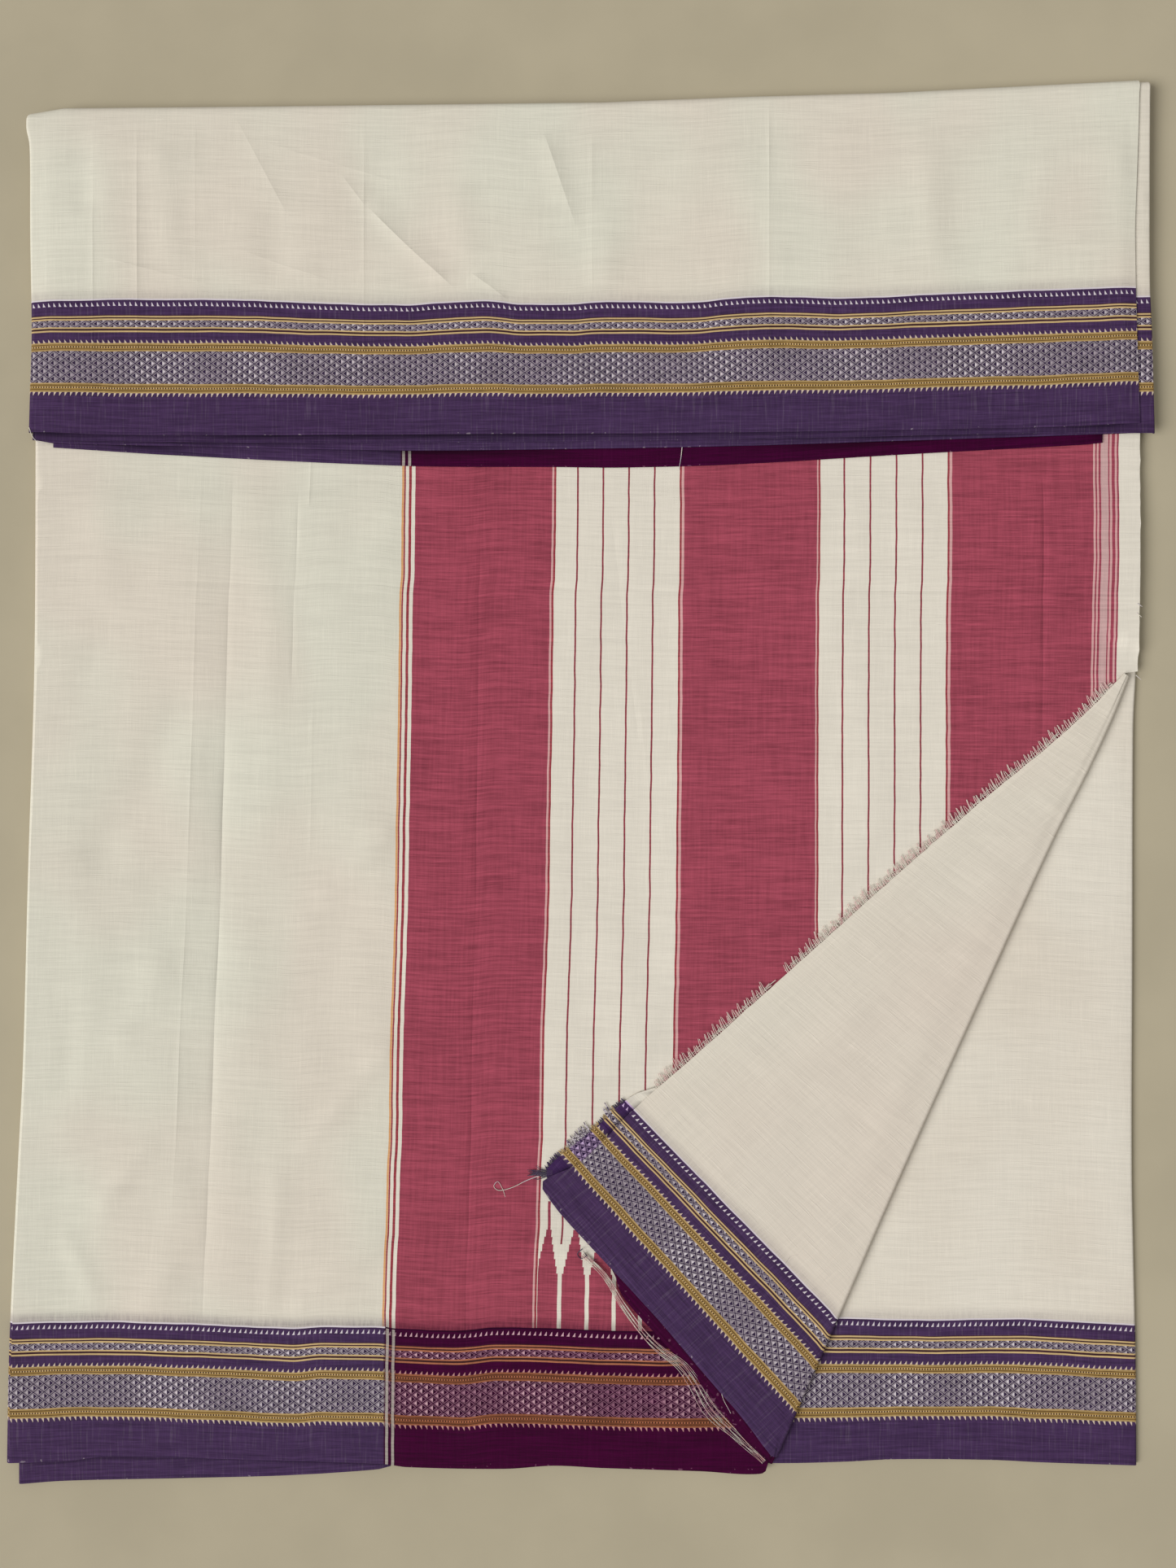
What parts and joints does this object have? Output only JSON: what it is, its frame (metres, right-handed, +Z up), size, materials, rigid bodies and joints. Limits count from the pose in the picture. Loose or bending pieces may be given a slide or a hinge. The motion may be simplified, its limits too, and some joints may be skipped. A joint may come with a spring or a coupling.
{
  "type": "folded ilkal saree",
  "caption": "Handloom sari folded into a flat rectangle, its top turned down over the front and its lower right corner turned back, with woven borders and a striped end panel.",
  "frame": {"origin": "middle of the overall box on the underside", "axes": "+Z up off the floor; +Y along the longer side, towards the turned-down top fold; +X to the right, towards the raw ends"},
  "size_m": [0.8146, 0.997, 0.0137],
  "materials": {
    "plain_cloth": "plain weave, undyed off-white",
    "pallu_cloth": "plain weave, off-white field and red striped end panel with a magenta border",
    "bordered_cloth": "plain weave, off-white with an indigo and gold border",
    "border_selvedge": "indigo silk selvedge",
    "corner_cloth": "plain weave, off-white with an indigo and gold border and a raw end",
    "pallu_border": "dark magenta silk border",
    "turnover_cloth": "plain weave, off-white with an indigo and gold border",
    "second_cloth": "plain weave, off-white with an indigo border",
    "fringe": "loose warp ends, off-white and pink",
    "loose_threads": "loose off-white yarn"
  },
  "bodies": {
    "root": {"hidden_layers": "plain_cloth", "pallu_panel": "pallu_cloth", "third_layer_panel": "bordered_cloth", "lower_left_selvedge": "border_selvedge", "turned_corner": "corner_cloth", "pallu_turned_end": "pallu_border", "top_turnover": "turnover_cloth", "turnover_second_layer": "second_cloth", "turnover_pallu_border": "pallu_border", "raw_edge_fringe": "fringe", "end_strip_fringe": "fringe", "selvedge_threads": "loose_threads"}
  },
  "joints": []
}
